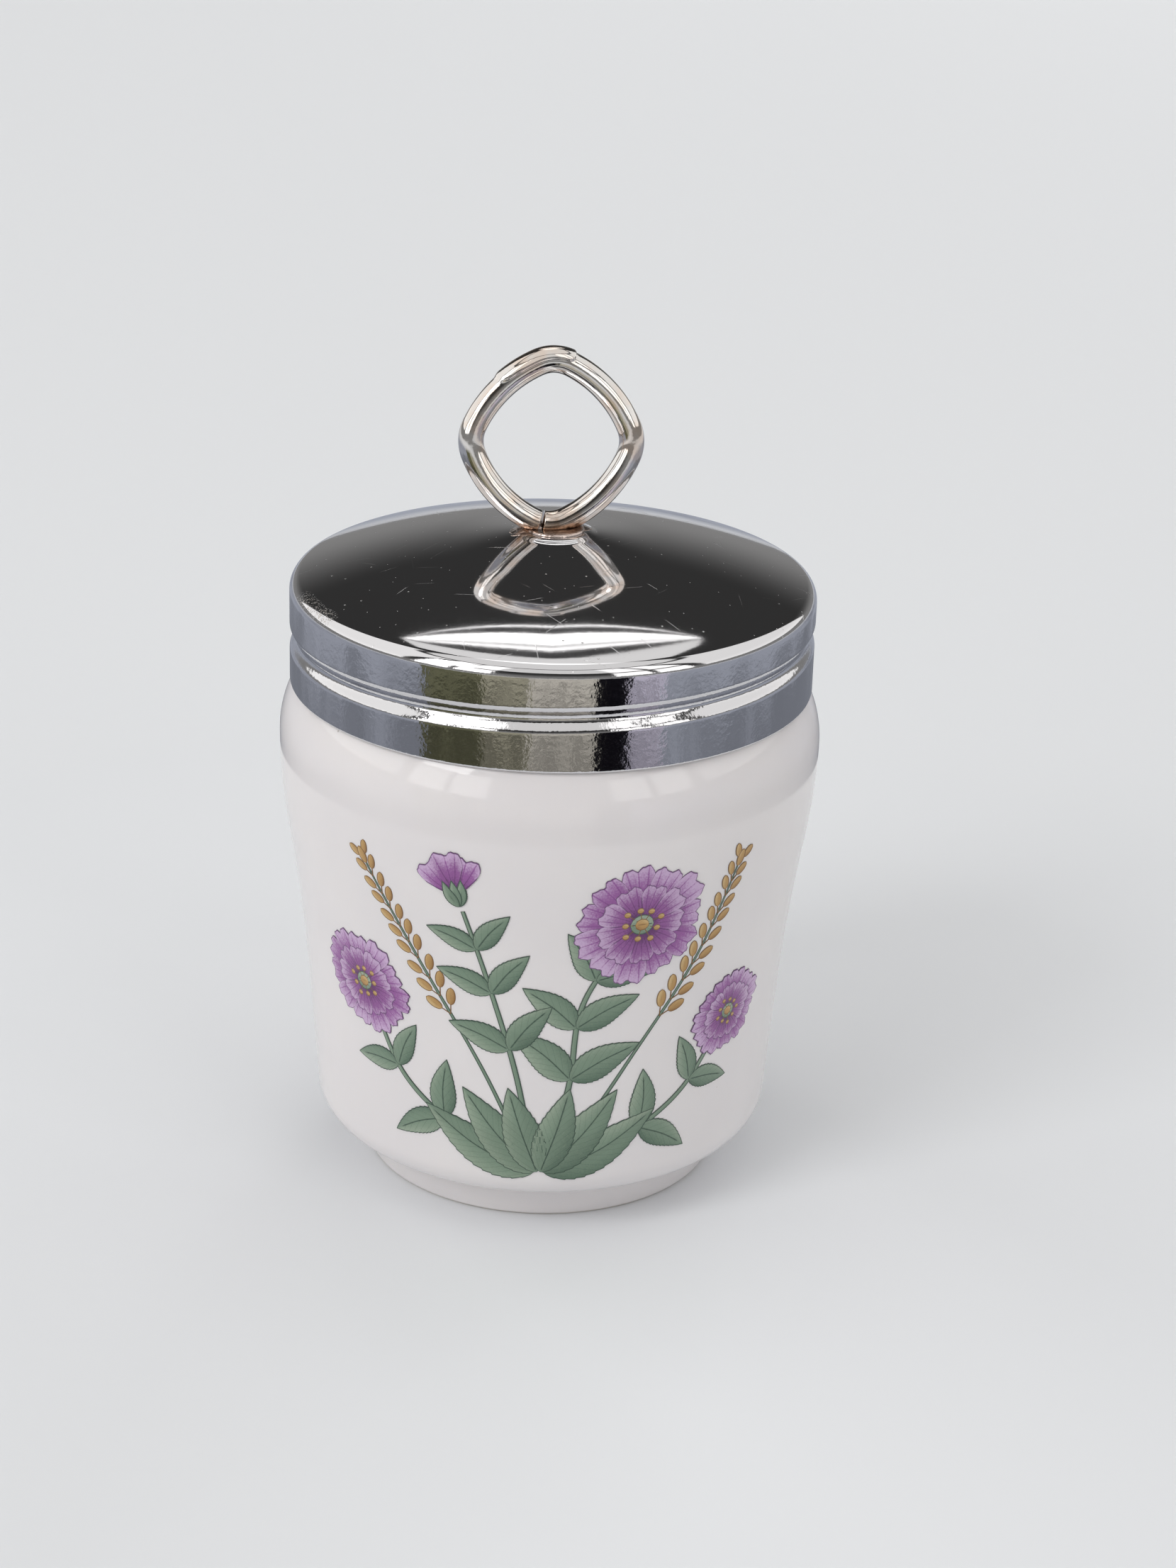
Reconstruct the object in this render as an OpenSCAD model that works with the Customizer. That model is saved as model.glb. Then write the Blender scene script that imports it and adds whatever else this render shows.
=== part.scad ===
// Porcelain egg coddler: a glazed porcelain pot, a chromed lid that screws on, and a wire lifting loop.
// Millimetres, +Z up. The origin is on the pot's axis, in the plane that the foot ring stands on.
// The loop stands over the XZ plane and is seen face on from the -Y side.

/* [Pot] */
// Outside diameter of the foot ring where it stands
foot_d = 43.6; // [42:0.1:45]
// Outside diameter of the foot ring where it joins the body
foot_top_d = 45.6; // [44:0.1:46]
// Width of the ring that touches the table
foot_land = 2.4; // [2:0.1:3.5]
// Depth of the recess inside the foot ring
foot_recess = 2.6; // [1.5:0.1:3]
// Height of the body's underside
underside_z = 5; // [4.6:0.1:5.4]
// Radius of the heel, from the underside to the side
heel_r = 4.3; // [3.8:0.1:4.8]
// Outside diameter just above the heel
heel_d = 56.4; // [56:0.1:57.4]
// Outside diameter at the waist, below the flare
waist_d = 58.7; // [58.2:0.1:59.6]
// Height of the waist
waist_z = 24; // [21:0.5:27]
// Outside diameter half-way up the flare
flare_d = 63.6; // [62.6:0.1:64]
// Height of that place
flare_z = 44; // [41:0.5:46]
// Largest outside diameter
belly_d = 65.5; // [65:0.1:65.6]
// Height of the largest diameter
belly_z = 55.5; // [54.5:0.1:55.6]
// Radius of the shoulder above the largest diameter
shoulder_r = 12.4; // [12.2:0.1:12.6]
// Thickness of the porcelain wall
wall = 3.4; // [3:0.1:3.6]
// Height of the floor inside
floor_z = 7.4; // [7:0.1:8.5]
// Radius between floor and wall inside
floor_r = 7; // [5:0.5:9]

/* [Neck] */
// Outside diameter of the neck
neck_d = 59.4; // [59:0.1:59.6]
// Outside diameter over the moulded thread
neck_crest_d = 61.5; // [61:0.1:61.6]
// Height of the mouth
mouth_z = 74.95; // [74.5:0.05:74.95]
// Rise of the thread in one turn
thread_lead = 3.6; // [3.5:0.1:4]
// Angle that the moulded thread runs round the neck
neck_sweep = 400; // [200:10:420]

/* [Lid] */
// Outside diameter of the skirt
lid_d = 63; // [63:0.1:63.4]
// Thickness of the sheet metal
sheet = 0.5; // [0.4:0.05:0.5]
// Height of the skirt's lower edge, screwed home
skirt_z = 62.1; // [62:0.1:63]
// Height where the skirt turns into the lip
lip_z = 73.2; // [73.2:0.1:74]
// Radius of the lip
lip_r = 1.8; // [1.4:0.1:2]
// Slope of the dome where it meets the lip, in degrees
dome_slope = 19; // [18.5:0.5:20]
// Diameter of the flat seat raised in the middle of the dome
seat_d = 7.4; // [7:0.1:8]
// Height of the seat above the crown round it
seat_h = 0.4; // [0.3:0.05:0.5]
// Diameter within which the crown is drawn up towards the seat
crown_d = 26; // [20:1:30]
// How far the crown is drawn up at the foot of the seat
crown_h = 0.45; // [0.2:0.05:0.5]
// Height of the rolled thread groove at the front of the skirt
groove_z = 68.4; // [68:0.1:68.6]
// Depth of the rolled groove
groove_depth = 0.75; // [0.6:0.05:0.75]
// Width of the rolled groove
groove_w = 3.3; // [2.8:0.1:3.4]
// Angle that the groove runs round the skirt
groove_sweep = 330; // [180:10:340]

/* [Lifting loop] */
// Diameter of the wire
wire_d = 3; // [2.6:0.1:3.2]
// Distance of the loop's middle from the axis, as it was brazed
loop_shift = -0.8; // [-1:0.1:1]
// Angle that the loop is turned from the XZ plane, as it was brazed
loop_turn = 9; // [0:1:12]
// Angle that the loop leans backwards
loop_lean = 8; // [0:1:10]
// Angle that the loop tilts to the right
loop_tilt = 2; // [-3:0.5:3]
// Height of the wire's centre line at the top of the loop, before it leans
loop_top_z = 100.75; // [100:0.05:102]
// Height of the loop's widest place, before it leans
loop_mid_z = 91.2; // [90.5:0.1:92]
// Height of the wire's centre line at the base, where the wire is ground flat
loop_base_z = 81.4; // [81.3:0.05:82]
// Width of the loop over the wire's centre line
loop_w = 19.2; // [18.8:0.1:20]
// Bend radius at the top
top_bend = 4.5; // [4:0.1:5]
// Bend radius at the sides
side_bend = 4.4; // [4:0.1:5]
// Bend radius at the base
base_bend = 4.5; // [4.2:0.1:5]
// Radius of the two bowed upper runs
upper_bow = 15; // [14:0.2:24]
// Radius of the two bowed lower runs
lower_bow = 15; // [14:0.2:24]
// Gap between the wire's two cut ends
end_gap = 0.6; // [0.2:0.1:0.8]
// Distance of that gap from the loop's middle
end_shift = -1; // [-1.5:0.1:1.5]
// How far the pressed pad stands out at the top
pad_h = 0.25; // [0.1:0.05:0.4]

/* [Braze] */
// Diameter of the braze under the loop
braze_d = 7; // [6:0.1:7]
// Thickness of the braze
braze_t = 0.3; // [0.2:0.05:0.35]

/* [Hidden] */

// Gap between the braze and its neighbours
braze_gap = 0.03;
// Overlap that buries a thread ridge in the wall it stands on
bury = 0.05;
// Angle of the front, where the helices cross their stated heights
front = -90;
// Angle over which a thread swells from nothing to its full height
run_out = 30;

// Pot: slope of the side at the heel and at the flare, and small rounds
side_slope = 0.08;
flare_slope = 0.165;
side_angle = atan(side_slope);
foot_round = 0.5;
foot_fillet = (underside_z - foot_round) / 5;
neck_fillet = 1;
mouth_round = 1.6;
heel_z = underside_z + heel_r * (1 - sin(side_angle));
neck_r = neck_d / 2;
shoulder_c = [belly_d / 2 - shoulder_r, belly_z];
fillet_c = [neck_r + neck_fillet,
            belly_z + sqrt(pow(shoulder_r + neck_fillet, 2) - pow(neck_r + neck_fillet - shoulder_c[0], 2))];
shoulder_end = atan2(fillet_c[1] - belly_z, fillet_c[0] - shoulder_c[0]);

// Neck: width of the moulded thread, and its height above the lid's own ridge
neck_ridge_w = 2.4;
neck_ridge_z = groove_z + 1.5;

// Lid: the dome is part of a sphere that meets the lip's arc at dome_slope
dome_edge_r = lid_d / 2 - lip_r * (1 - sin(dome_slope));
dome_r = dome_edge_r / sin(dome_slope);
dome_c = lip_z + (lip_r - dome_r) * cos(dome_slope);
seat_skirt = 1.5;
seat_foot_r = seat_d / 2 + seat_skirt;
seat_z = crown_z(seat_foot_r, 0) + seat_h;

// Loop: bearings between which the pressed pad lies on the top bend
pad_from = 64;
pad_to = 135;

// Points on the arc round c, from one angle to another
function arc(c, r, from, to, steps) = [
    for (i = [0:steps])
        let (a = from + (to - from) * i / steps)
        c + r * [cos(a), sin(a)]
];

// Points on a fair curve between two stations [height, radius, slope]
function fair(low, high, steps) = [
    for (i = [0:steps])
        let (t = i / steps, rise = high[0] - low[0], s = t * t * (3 - 2 * t))
        [low[1] * (1 - s) + high[1] * s
            + rise * t * (1 - t) * (low[2] * (1 - t) - high[2] * t),
         low[0] + rise * t]
];

// The pot's side from low_z to the belly, moved inwards by inset
function side(inset, low_z) =
    let (low = [low_z, heel_d / 2 + side_slope * (low_z - heel_z) - inset, side_slope],
         waist = [waist_z, waist_d / 2 - inset, side_slope],
         flare = [flare_z, flare_d / 2 - inset, flare_slope],
         belly = [belly_z, belly_d / 2 - inset, 0])
    concat(fair(low, waist, 4), fair(waist, flare, 8), fair(flare, belly, 8));

function reverse(list) = [for (i = [len(list) - 1:-1:0]) list[i]];

module revolve(points) {
    rotate_extrude($fn = 180) polygon(points);
}

// Swells from 0 to 1 over the run-out at each end of a sweep
function swell(turn, sweep) =
    let (t = min(1, (sweep / 2 - abs(turn)) / run_out))
    t * t * (3 - 2 * t);

// A solid through rings of points. Each ring runs anticlockwise, seen from the ring before it.
module loft(rings) {
    sides = len(rings[0]);
    last = (len(rings) - 1) * sides;
    polyhedron([for (ring = rings) each ring], concat(
        [[for (j = [sides - 1:-1:0]) j]],
        [for (i = [0:sides:last - 1], j = [0:sides - 1])
            let (a = i + j, b = i + (j + 1) % sides)
            each [[a, b, a + sides], [b, b + sides, a + sides]]],
        [[for (j = [0:sides - 1]) last + j]]));
}

// A thread on a helix: a wave of the given width and height on a wall of radius wall_r. Its back
// is at back_r; height is negative where the wave goes towards the axis.
module thread(wall_r, back_r, height, width, centre_z, sweep) {
    steps = ceil(sweep / 6);
    half = 4;
    backward = back_r > wall_r ? 1 : -1;
    loft([
        for (turn = [-sweep / 2:sweep / steps:sweep / 2 + 0.01])
            let (reach = swell(turn, sweep) * (height - backward * bury),
                 back = [[back_r, -width / 2], [back_r, width / 2]],
                 wave = [for (k = [half:-1:-half])
                     [wall_r + backward * bury + reach * pow(cos(90 * k / half), 2), width / 2 * k / half]],
                 section = concat(back, wave))
            [for (p = backward > 0 ? section : reverse(section))
                [p[0] * cos(front + turn), p[0] * sin(front + turn), centre_z + p[1] + thread_lead * turn / 360]]
    ]);
}

// The fired porcelain pot: foot ring, swelling side, shoulder, neck with its moulded thread, cavity
module pot() {
    inner_neck_r = neck_r - 2 * mouth_round;
    inner_shoulder_r = shoulder_r - wall;
    inner_shoulder_a = acos((inner_neck_r - shoulder_c[0]) / inner_shoulder_r);
    floor_side_z = floor_z + floor_r * (1 - sin(side_angle));
    inner_side = side(wall, floor_side_z);
    color("whitesmoke") union() {
        revolve(concat(
            [[0, foot_recess]],
            arc([foot_d / 2 - foot_land - 2 * foot_round, foot_recess - foot_round], foot_round, 90, 0, 4),
            arc([foot_d / 2 - foot_land, foot_round], foot_round, 180, 270, 4),
            arc([foot_d / 2 - foot_round, foot_round], foot_round, -90, 0, 4),
            arc([foot_top_d / 2 + foot_fillet, underside_z - foot_fillet], foot_fillet, 180, 90, 5),
            arc([heel_d / 2 - heel_r * cos(side_angle), underside_z + heel_r], heel_r, -90, -side_angle, 10),
            side(0, heel_z),
            arc(shoulder_c, shoulder_r, 0, shoulder_end, 8),
            arc(fillet_c, neck_fillet, 180 + shoulder_end, 180, 4),
            arc([neck_r - mouth_round, mouth_z - mouth_round], mouth_round, 0, 180, 14),
            arc(shoulder_c, inner_shoulder_r, inner_shoulder_a, 0, 6),
            reverse(inner_side),
            arc([inner_side[0][0] - floor_r * cos(side_angle), floor_z + floor_r], floor_r, -side_angle, -90, 10),
            [[0, floor_z]]
        ));
        thread(neck_r, neck_r - 1, neck_crest_d / 2 - neck_r, neck_ridge_w, neck_ridge_z, neck_sweep);
    }
}

// Height of the dome at radius r, moved inwards by inset, with its crown drawn up towards the seat
function crown_z(r, inset) =
    dome_c + sqrt(pow(dome_r - inset, 2) - r * r)
        + crown_h * pow((crown_d / 2 - r) / (crown_d / 2 - seat_foot_r), 2);

// The lid's surface, moved inwards by inset: skirt, lip, dome, crown and the seat raised in its middle
function lid_outline(inset) =
    let (top_z = seat_z - inset,
         foot_z = crown_z(seat_foot_r, inset),
         foot_slope = (crown_z(seat_foot_r + 0.01, inset) - foot_z) / 0.01)
    concat(
        [[lid_d / 2 - inset, skirt_z]],
        arc([lid_d / 2 - lip_r, lip_z], lip_r - inset, 0, 90 - dome_slope, 8),
        arc([0, dome_c], dome_r - inset, 90 - dome_slope, acos(crown_d / 2 / (dome_r - inset)), 14),
        [for (i = [1:10])
            let (r = crown_d / 2 + (seat_foot_r - crown_d / 2) * i / 10)
            [r, crown_z(r, inset)]],
        [for (i = [1:8])
            let (t = i / 8)
            [seat_foot_r - seat_skirt * t,
             foot_z + (top_z - foot_z) * t * t * (3 - 2 * t) - seat_skirt * foot_slope * t * pow(1 - t, 2)]],
        [[0, top_z]]
    );

// The pressed lid: one sheet of even thickness, with the thread rolled into its skirt
module lid_shell() {
    wall_r = lid_d / 2 - sheet;
    color("silver") difference() {
        union() {
            revolve(concat(lid_outline(0), reverse(lid_outline(sheet))));
            thread(wall_r, wall_r + sheet / 2, -groove_depth, groove_w + 0.3, groove_z, groove_sweep);
        }
        thread(lid_d / 2, lid_d / 2 + 1, -groove_depth, groove_w, groove_z, groove_sweep);
    }
}

// Centre of an arc of radius r that touches two bends from outside their chord
function bow_centre(c1, r1, c2, r2, r) =
    let (d = norm(c2 - c1), e = (c2 - c1) / d,
         t = (pow(r - r1, 2) - pow(r - r2, 2) + d * d) / (2 * d))
    c1 + t * e - sqrt(pow(r - r1, 2) - t * t) * [-e[1], e[0]];

function bearing(from, to) = atan2(to[1] - from[1], to[0] - from[0]);

// Places [x, z, bearing] of the wire's centre line on a bend round c
function bend(c, r, from, to, steps) = [
    for (i = [0:steps])
        let (a = from + (to - from) * i / steps)
        [c[0] + r * cos(a), c[1] + r * sin(a), a]
];

// Round wire along places in the XZ plane; each bearing points out of the loop
module wire(line) {
    sides = 24;
    loft([
        for (p = line)
            [for (k = [0:sides - 1])
                let (b = -360 * k / sides, out = wire_d / 2 * cos(b))
                [p[0] + out * cos(p[2]), wire_d / 2 * sin(b), p[1] + out * sin(p[2])]]
    ]);
}

function tail(list) = [for (i = [1:len(list) - 1]) list[i]];

// The wire loop: four bends joined by four bowed runs, its base ground flat and its ends apart
module lifting_loop() {
    top_c = [0, loop_top_z - top_bend];
    side_c = [loop_w / 2 - side_bend, loop_mid_z];
    base_c = [0, loop_base_z + base_bend];
    upper_c = bow_centre(top_c, top_bend, side_c, side_bend, upper_bow);
    lower_c = bow_centre(side_c, side_bend, base_c, base_bend, lower_bow);
    top_a = bearing(upper_c, top_c);
    side_top_a = bearing(upper_c, side_c);
    side_low_a = bearing(lower_c, side_c);
    base_a = bearing(lower_c, base_c);
    // One half of the loop, from the cut end at distance end_x beside the middle to the top
    function half(end_x) = concat(
        bend(base_c, base_bend, asin(end_x / base_bend) - 90, base_a, 5),
        tail(bend(lower_c, lower_bow, base_a, side_low_a, 7)),
        tail(bend(side_c, side_bend, side_low_a, side_top_a, 9)),
        tail(bend(upper_c, upper_bow, side_top_a, top_a, 7)),
        tail(bend(top_c, top_bend, top_a, 90, 5))
    );
    left = [for (p = reverse(half(end_gap / 2 - end_shift))) [-p[0], p[1], 180 - p[2]]];
    braze_top = seat_z + braze_t + 2 * braze_gap;
    color("silver") translate([loop_shift, 0, 0]) difference() {
        translate([0, 0, loop_base_z]) rotate([-loop_lean, loop_tilt, loop_turn])
            translate([0, 0, -loop_base_z]) {
                wire(concat(half(end_gap / 2 + end_shift), tail(left)));
                wire(bend(top_c, top_bend + pad_h, pad_from, pad_to, 8));
            }
        translate([-loop_w / 2, -loop_w / 2, braze_top - 2 * wire_d]) cube([loop_w, loop_w, 2 * wire_d]);
    }
}

// The braze: a thin round pad of filler metal run out between seat and loop
module loop_braze() {
    low = seat_z + braze_gap;
    color("tan") revolve(concat(
        [[0, low]],
        arc([braze_d / 2 - braze_t, low], braze_t, 0, 90, 4),
        [[0, low + braze_t]]
    ));
}

pot();
lid_shell();
lifting_loop();
loop_braze();
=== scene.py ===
"""A porcelain egg coddler: glazed pot, chromed lid that screws on, and the wire loop that lifts it.

Shapes are worked out in millimetres and turned into Blender's metres when a mesh is made. +Z is up,
the pot's axis is the Z axis and the front is the -Y side. Angles are in degrees unless said.
"""

import math

import bpy
import numpy as np
from mathutils import Euler, Matrix


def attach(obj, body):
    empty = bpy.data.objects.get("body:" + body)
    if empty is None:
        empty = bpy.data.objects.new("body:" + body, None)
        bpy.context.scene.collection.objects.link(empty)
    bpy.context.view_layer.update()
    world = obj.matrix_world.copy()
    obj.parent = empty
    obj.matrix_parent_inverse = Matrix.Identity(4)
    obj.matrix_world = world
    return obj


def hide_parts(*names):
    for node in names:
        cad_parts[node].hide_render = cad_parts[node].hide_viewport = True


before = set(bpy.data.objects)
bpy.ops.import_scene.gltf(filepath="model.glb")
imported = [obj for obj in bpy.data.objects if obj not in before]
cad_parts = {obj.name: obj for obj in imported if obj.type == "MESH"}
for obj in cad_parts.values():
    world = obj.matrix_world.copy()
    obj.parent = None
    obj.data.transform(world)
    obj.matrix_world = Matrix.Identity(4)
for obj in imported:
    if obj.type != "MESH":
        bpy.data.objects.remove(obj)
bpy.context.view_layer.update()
scene = bpy.context.scene

MM = 0.001
FRONT = -90.0

# ---- sizes, in millimetres

# Pot, from the foot ring up
FOOT_D, FOOT_TOP_D, FOOT_LAND, FOOT_RECESS = 43.6, 45.6, 2.4, 2.6
UNDERSIDE_Z, HEEL_R, HEEL_D = 5.0, 4.3, 56.4
WAIST_D, WAIST_Z = 58.7, 24.0
FLARE_D, FLARE_Z = 63.6, 44.0
BELLY_D, BELLY_Z = 65.5, 55.5
SHOULDER_R, WALL, FLOOR_Z, FLOOR_R = 12.4, 3.4, 7.4, 7.0
SIDE_SLOPE, FLARE_SLOPE = 0.08, 0.165
NECK_D, NECK_CREST_D, MOUTH_Z, MOUTH_ROUND = 59.4, 61.5, 74.95, 1.6
FOOT_ROUND, NECK_FILLET = 0.5, 1.0

# Screw thread: the moulded ridge on the neck and the groove rolled into the lid
LEAD, RUN_OUT = 3.6, 30.0
RIDGE_W, RIDGE_SWEEP = 2.4, 400.0
GROOVE_Z, GROOVE_DEPTH, GROOVE_W, GROOVE_SWEEP = 68.4, 0.75, 3.3, 330.0
RIDGE_Z = GROOVE_Z + 1.5

# Lid
LID_D, SHEET, SKIRT_Z, LIP_Z, LIP_R = 63.0, 0.5, 62.1, 73.2, 1.8
DOME_SLOPE, SEAT_D, SEAT_H, SEAT_SKIRT = 19.0, 7.4, 0.4, 1.5
CROWN_D, CROWN_H = 26.0, 0.45

# Lifting loop, which stands over the XZ plane, turned, leaning and tilted by some degrees
WIRE_D, LOOP_SHIFT, LOOP_W, END_GAP, END_SHIFT = 3.0, -0.8, 19.2, 0.6, -1.0
LOOP_TURN, LOOP_LEAN, LOOP_TILT = 9.0, 8.0, 2.0
LOOP_TOP_Z, LOOP_MID_Z, LOOP_BASE_Z = 100.75, 91.2, 81.4
TOP_BEND, SIDE_BEND, BASE_BEND = 4.5, 4.4, 4.5
UPPER_BOW, LOWER_BOW = 15.0, 15.0

# The pad pressed on top of the loop, from one bearing to another and this far round the wire, and
# the clamp marks as bearing along the loop and turn round the wire
PAD_H, PAD_FROM, PAD_TO, PAD_TURN, PAD_SPREAD = 0.25, 64.0, 135.0, 24.0, 56.0
CLAMP_MARKS = ((172, 62), (8, 62), (188, -75), (-12, -80))
CLAMP_DEPTH, CLAMP_SPREAD = 0.02, 24.0

# Braze under the loop: the pad, and half the length and width and the height of the lumps on it
BRAZE_T, BRAZE_GAP = 0.3, 0.03
BRAZE_ALONG, BRAZE_ACROSS, BRAZE_FILL = 4.9, 2.0, 0.85

# Points round each piece
POT_AROUND, LID_AROUND, WIRE_AROUND, BRAZE_AROUND = 256, 300, 88, 120


# ---- curves and surfaces

def ease(x):
    """Rises from 0 to 1 with x: three x squared less two x cubed, held at its ends."""
    x = np.clip(x, 0, 1)
    return x * x * (3 - 2 * x)


def cosd(angle):
    return math.cos(math.radians(angle))


def sind(angle):
    return math.sin(math.radians(angle))


def course(step):
    """The angle that a step along X and Y points at."""
    return math.degrees(math.atan2(step[1], step[0]))


def unit(vector):
    """The same direction, one long; vector may be an array of them."""
    return vector / np.linalg.norm(vector, axis=-1, keepdims=True)


def arc(centre, radius, start, end, step=0.25):
    """Points on a circle round centre, from one angle to another, about step apart."""
    count = max(3, int(abs(math.radians(end - start)) * radius / step) + 2)
    angle = np.radians(np.linspace(start, end, count))
    return np.asarray(centre) + radius * np.column_stack([np.cos(angle), np.sin(angle)])


def line(start, end, step=0.5):
    """Points on a straight line, about step apart."""
    start, end = np.array(start, float), np.array(end, float)
    count = max(2, int(np.linalg.norm(end - start) / step) + 2)
    return start + (end - start) * np.linspace(0, 1, count)[:, None]


def fair(low, high, step=0.8):
    """Points [radius, height] on the cubic between two stations of height, radius and slope."""
    rise = high[0] - low[0]
    t = np.linspace(0, 1, int(rise / step) + 2)
    bend = rise * t * (1 - t) * (low[2] * (1 - t) - high[2] * t)
    return np.column_stack([low[1] + (high[1] - low[1]) * ease(t) + bend, low[0] + rise * t])


def join(*parts):
    """One outline from several, without points that lie on top of each other."""
    points = np.vstack(parts)
    step = np.linalg.norm(np.diff(points, axis=0), axis=1)
    return points[np.concatenate([[True], step > 1e-4])]


def shell(rings):
    """Points and outward faces of the closed skin through rings; its first and last rings shrink
    to their middles."""
    count, around = rings.shape[:2]
    body = rings[1:-1].reshape(-1, 3)
    points = np.vstack([body, rings[0].mean(0), rings[-1].mean(0)])
    ring = np.arange(len(body)).reshape(count - 2, around)
    beside = np.roll(ring, -1, axis=1)
    quads = np.stack([ring[:-1], beside[:-1], beside[1:], ring[1:]], axis=-1).reshape(-1, 4)
    first = np.stack([beside[0], ring[0], np.full(around, len(body))], axis=-1)
    last = np.stack([ring[-1], beside[-1], np.full(around, len(body) + 1)], axis=-1)
    corners = points[quads]
    half = np.cross(corners[:, 2] - corners[:, 0], corners[:, 3] - corners[:, 1])
    inside_out = (half * corners.mean(1)).sum() < 0
    faces = quads.tolist() + first.tolist() + last.tolist()
    return points, [face[::-1] for face in faces] if inside_out else faces


def revolve(outline, around, radius):
    """Rings of an outline [radius, height] turned round the Z axis; radius(r, z, angle) reshapes
    them."""
    angle = np.linspace(0, 360, around, endpoint=False)[None, :]
    z = np.repeat(outline[:, 1:], around, axis=1)
    r = radius(np.repeat(outline[:, :1], around, axis=1), z, angle)
    a = np.radians(angle)
    return np.stack([r * np.cos(a), r * np.sin(a), z], axis=-1)


def thread(z, angle, centre_z, width, sweep):
    """Height, 0 to 1, of a thread's wave: the square of a cosine across its width, on a helix that
    climbs LEAD a turn and runs out over RUN_OUT degrees at both ends."""
    front_turn = (angle - FRONT + 180) % 360 - 180
    height = np.zeros(np.broadcast(z, angle).shape)
    for lap in (-360, 0, 360):
        turn = front_turn + lap
        across = np.clip((z - centre_z - LEAD * turn / 360) / (width / 2), -1, 1)
        swell = ease((sweep / 2 - np.abs(turn)) / RUN_OUT)
        height = np.maximum(height, np.cos(across * math.pi / 2) ** 2 * swell)
    return height


def new_object(name, data):
    """An object of that data, put into the scene."""
    added = bpy.data.objects.new(name, data)
    scene.collection.objects.link(added)
    return added


def new_mesh(name, points, faces, material):
    """A mesh object in one material, from points in metres."""
    mesh = bpy.data.meshes.new(name)
    mesh.from_pydata(points.tolist(), [], faces)
    mesh.materials.append(material)
    return new_object(name, mesh)


def make(name, points, faces, body, slot, material, stands_for=()):
    """A smooth piece, from points in millimetres, that rides on a body."""
    piece = new_mesh(name, points * MM, faces, material)
    piece.data.shade_smooth()
    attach(piece, body)
    if stands_for:
        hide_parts(*stands_for)
    return piece


# ---- shader sums

class Value:
    """A socket in a sum: each operator adds the Math node of its name."""

    def __init__(self, tree, socket):
        self.tree = tree
        self.socket = socket

    def math(self, operation, *others):
        return self.tree.add("Math", {"operation": operation}, [self, *others])

    def __add__(self, other):
        return self.math("ADD", other)

    def __sub__(self, other):
        return self.math("SUBTRACT", other)

    def __rsub__(self, other):
        return self.tree.add("Math", {"operation": "SUBTRACT"}, [other, self])

    def __mul__(self, other):
        return self.math("MULTIPLY", other)

    def __truediv__(self, other):
        return self.math("DIVIDE", other)

    def __abs__(self):
        return self.math("ABSOLUTE")

    __radd__ = __add__

    def eased(self, low, high):
        """0 below low, 1 above high and a smooth step between; low may be the greater."""
        span = [self, low, high, 0.0, 1.0]
        if low > high:
            span = [self, high, low, 1.0, 0.0]
        return self.tree.add("MapRange", {"interpolation_type": "SMOOTHSTEP"}, span)


class Tree:
    """The nodes of one material or world."""

    def __init__(self, owner):
        owner.use_nodes = True
        self.nodes = owner.node_tree.nodes
        self.links = owner.node_tree.links
        self.nodes.clear()

    def add(self, kind, settings=(), inputs=(), output=0):
        """One node: its settings first, then each input's value or link, by name or in order."""
        node = self.nodes.new("ShaderNode" + kind)
        for name, value in dict(settings).items():
            setattr(node, name, value)
        for key, value in inputs.items() if isinstance(inputs, dict) else enumerate(inputs):
            if isinstance(value, Value):
                self.links.new(value.socket, node.inputs[key])
            else:
                node.inputs[key].default_value = value
        return Value(self, node.outputs[output]) if len(node.outputs) else None

    def place(self):
        """Object coordinates, in metres."""
        return self.add("TexCoord", output="Object")

    def parts(self, vector):
        """The three numbers in a vector."""
        split = self.add("SeparateXYZ", (), [vector])
        return [Value(self, out) for out in split.socket.node.outputs]

    def noise(self, vector, size, detail=2.0, roughness=0.5):
        """Smooth noise about 0.5 whose lumps are about size millimetres."""
        inputs = {"Vector": vector, "Scale": 1 / (size * MM)}
        inputs.update({"Detail": detail, "Roughness": roughness})
        return self.add("TexNoise", (), inputs, "Fac")

    def relief(self, vector, *layers):
        """Noises added up, each by its lumps' size and depth in millimetres and its detail."""
        return sum_of(self.noise(vector, size, detail) * depth for size, depth, detail in layers)

    def turned(self, vector, turn):
        """Coordinates turned about Z."""
        inputs = {"Vector": vector, "Rotation": (0, 0, math.radians(turn))}
        return self.add("Mapping", (), inputs)

    def random(self, *cell):
        """Three numbers between 0 and 1 that are the same all over the cell of three numbers."""
        inputs = {"Vector": self.add("CombineXYZ", (), cell)}
        settings = {"noise_dimensions": "3D"}
        return self.parts(self.add("TexWhiteNoise", settings, inputs, "Color"))

    def attribute(self, name):
        """The three numbers of a mesh attribute."""
        settings = {"attribute_name": name}
        return self.parts(self.add("Attribute", settings, (), "Vector"))

    def mix(self, factor, first, second):
        """From the first colour to the second."""
        return self.add("Mix", {"data_type": "RGBA"}, {0: factor, 6: first, 7: second}, 2)

    def bump(self, height):
        """A normal from a height in millimetres."""
        inputs = {"Strength": 1.0, "Distance": MM, "Height": height}
        return self.add("Bump", (), inputs, "Normal")

    def finish(self, **sockets):
        """The surface shader, its sockets given with _ for a space, wired to the output."""
        inputs = {name.replace("_", " "): value for name, value in sockets.items()}
        surface = self.add("BsdfPrincipled", (), inputs)
        self.add("OutputMaterial", (), {"Surface": surface})


def sum_of(values):
    """The sum of several shader values."""
    values = list(values)
    total = values[0]
    for value in values[1:]:
        total = total + value
    return total


def hypotenuse(x, y):
    """The root of the sum of both squares."""
    return (x * x + y * y).math("SQRT")


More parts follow.
